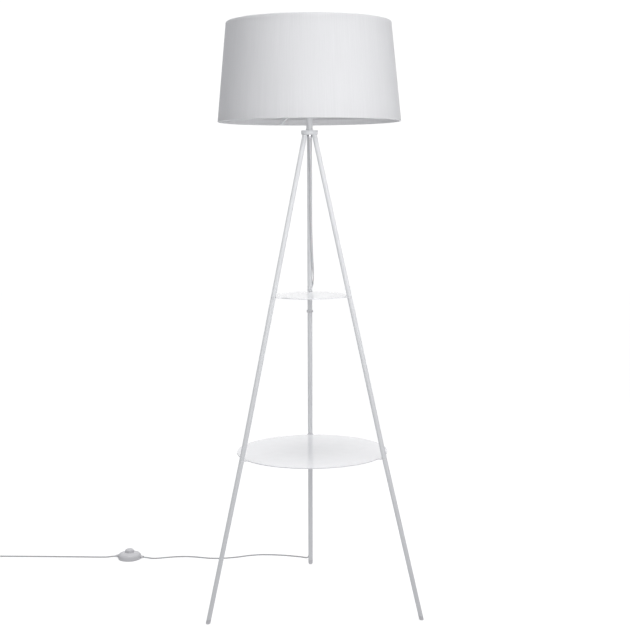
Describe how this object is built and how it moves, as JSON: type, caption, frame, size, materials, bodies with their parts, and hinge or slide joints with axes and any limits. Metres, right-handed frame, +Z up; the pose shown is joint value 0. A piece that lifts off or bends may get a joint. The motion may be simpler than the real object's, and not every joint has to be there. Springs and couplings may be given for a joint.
{
  "type": "tripod floor lamp",
  "caption": "Tripod floor lamp with slim jointed metal legs, small round shelves between them, a tapered drum fabric shade, and a lead with a foot-operated switch.",
  "frame": {"origin": "middle of the lamp's footprint on the floor, without the lead and what is on it", "axes": "+Z up, +Y towards the back, where one leg points, +X to the lamp's left-hand side as one faces away from the viewer, that is to the viewer's right"},
  "size_m": [1.2831, 0.6476, 1.4553],
  "materials": {
    "painted_steel": "satin white powder coat",
    "zinc_steel": "zinc-plated thread",
    "contact_brass": "bright",
    "white_plastic": "fine matte moulding",
    "dark_plastic": "matte",
    "lead_sheath": "smooth soft PVC",
    "porcelain": "unglazed",
    "shade_fabric": "fine vertical-rib textile on a liner",
    "opal_glass": "opal, smooth"
  },
  "bodies": {
    "root": {"bulb_cap": "zinc_steel", "bulb_globe": "opal_glass", "cord_bush": "white_plastic", "cord_clip": "white_plastic", "cord_coil": "lead_sheath", "cord_lamp": "lead_sheath", "cord_plug": "lead_sheath", "cord_tie": "dark_plastic", "foot_left": "white_plastic", "foot_rear": "white_plastic", "foot_right": "white_plastic", "hub": "painted_steel", "hub_nut": "zinc_steel", "lampholder_cap": "white_plastic", "lampholder_contact": "contact_brass", "lampholder_core": "porcelain", "lampholder_shell": "white_plastic", "lampholder_sleeve": "contact_brass", "leg_lower_left": "painted_steel", "leg_lower_rear": "painted_steel", "leg_lower_right": "painted_steel", "leg_middle_left": "painted_steel", "leg_middle_rear": "painted_steel", "leg_middle_right": "painted_steel", "leg_upper_left": "painted_steel", "leg_upper_rear": "painted_steel", "leg_upper_right": "painted_steel", "neck_collar": "painted_steel", "neck_tube": "painted_steel", "plug_body": "white_plastic", "plug_pin_left": "zinc_steel", "plug_pin_right": "zinc_steel", "shade_arm_back": "painted_steel", "shade_arm_front": "painted_steel", "shade_arm_side": "painted_steel", "shade_clamp_lower": "white_plastic", "shade_clamp_upper": "white_plastic", "shade_fitter_ring": "painted_steel", "shade_ring_bottom": "painted_steel", "shade_ring_top": "painted_steel", "shade_skin": "shade_fabric", "shelf_lower": "painted_steel", "shelf_upper": "painted_steel", "stud_hub_left": "zinc_steel", "stud_hub_rear": "zinc_steel", "stud_hub_right": "zinc_steel", "stud_lower_shelf_left": "zinc_steel", "stud_lower_shelf_rear": "zinc_steel", "stud_lower_shelf_right": "zinc_steel", "stud_upper_shelf_left": "zinc_steel", "stud_upper_shelf_rear": "zinc_steel", "stud_upper_shelf_right": "zinc_steel", "switch_base": "white_plastic", "switch_contacts": "dark_plastic", "switch_cover": "white_plastic", "switch_grommet_lamp": "white_plastic", "switch_grommet_plug": "white_plastic", "switch_spring": "zinc_steel", "threaded_nipple": "zinc_steel"},
    "switch_button": {"switch_button": "white_plastic"}
  },
  "joints": [
    {"name": "switch_press", "type": "slide", "parent": "root", "child": "switch_button", "axis": [0, 0, -1], "range_m": [0, 0.0035], "stiffness_N_per_m": 900, "springref_m": -0.002, "deforming": ["switch_spring"]}
  ]
}
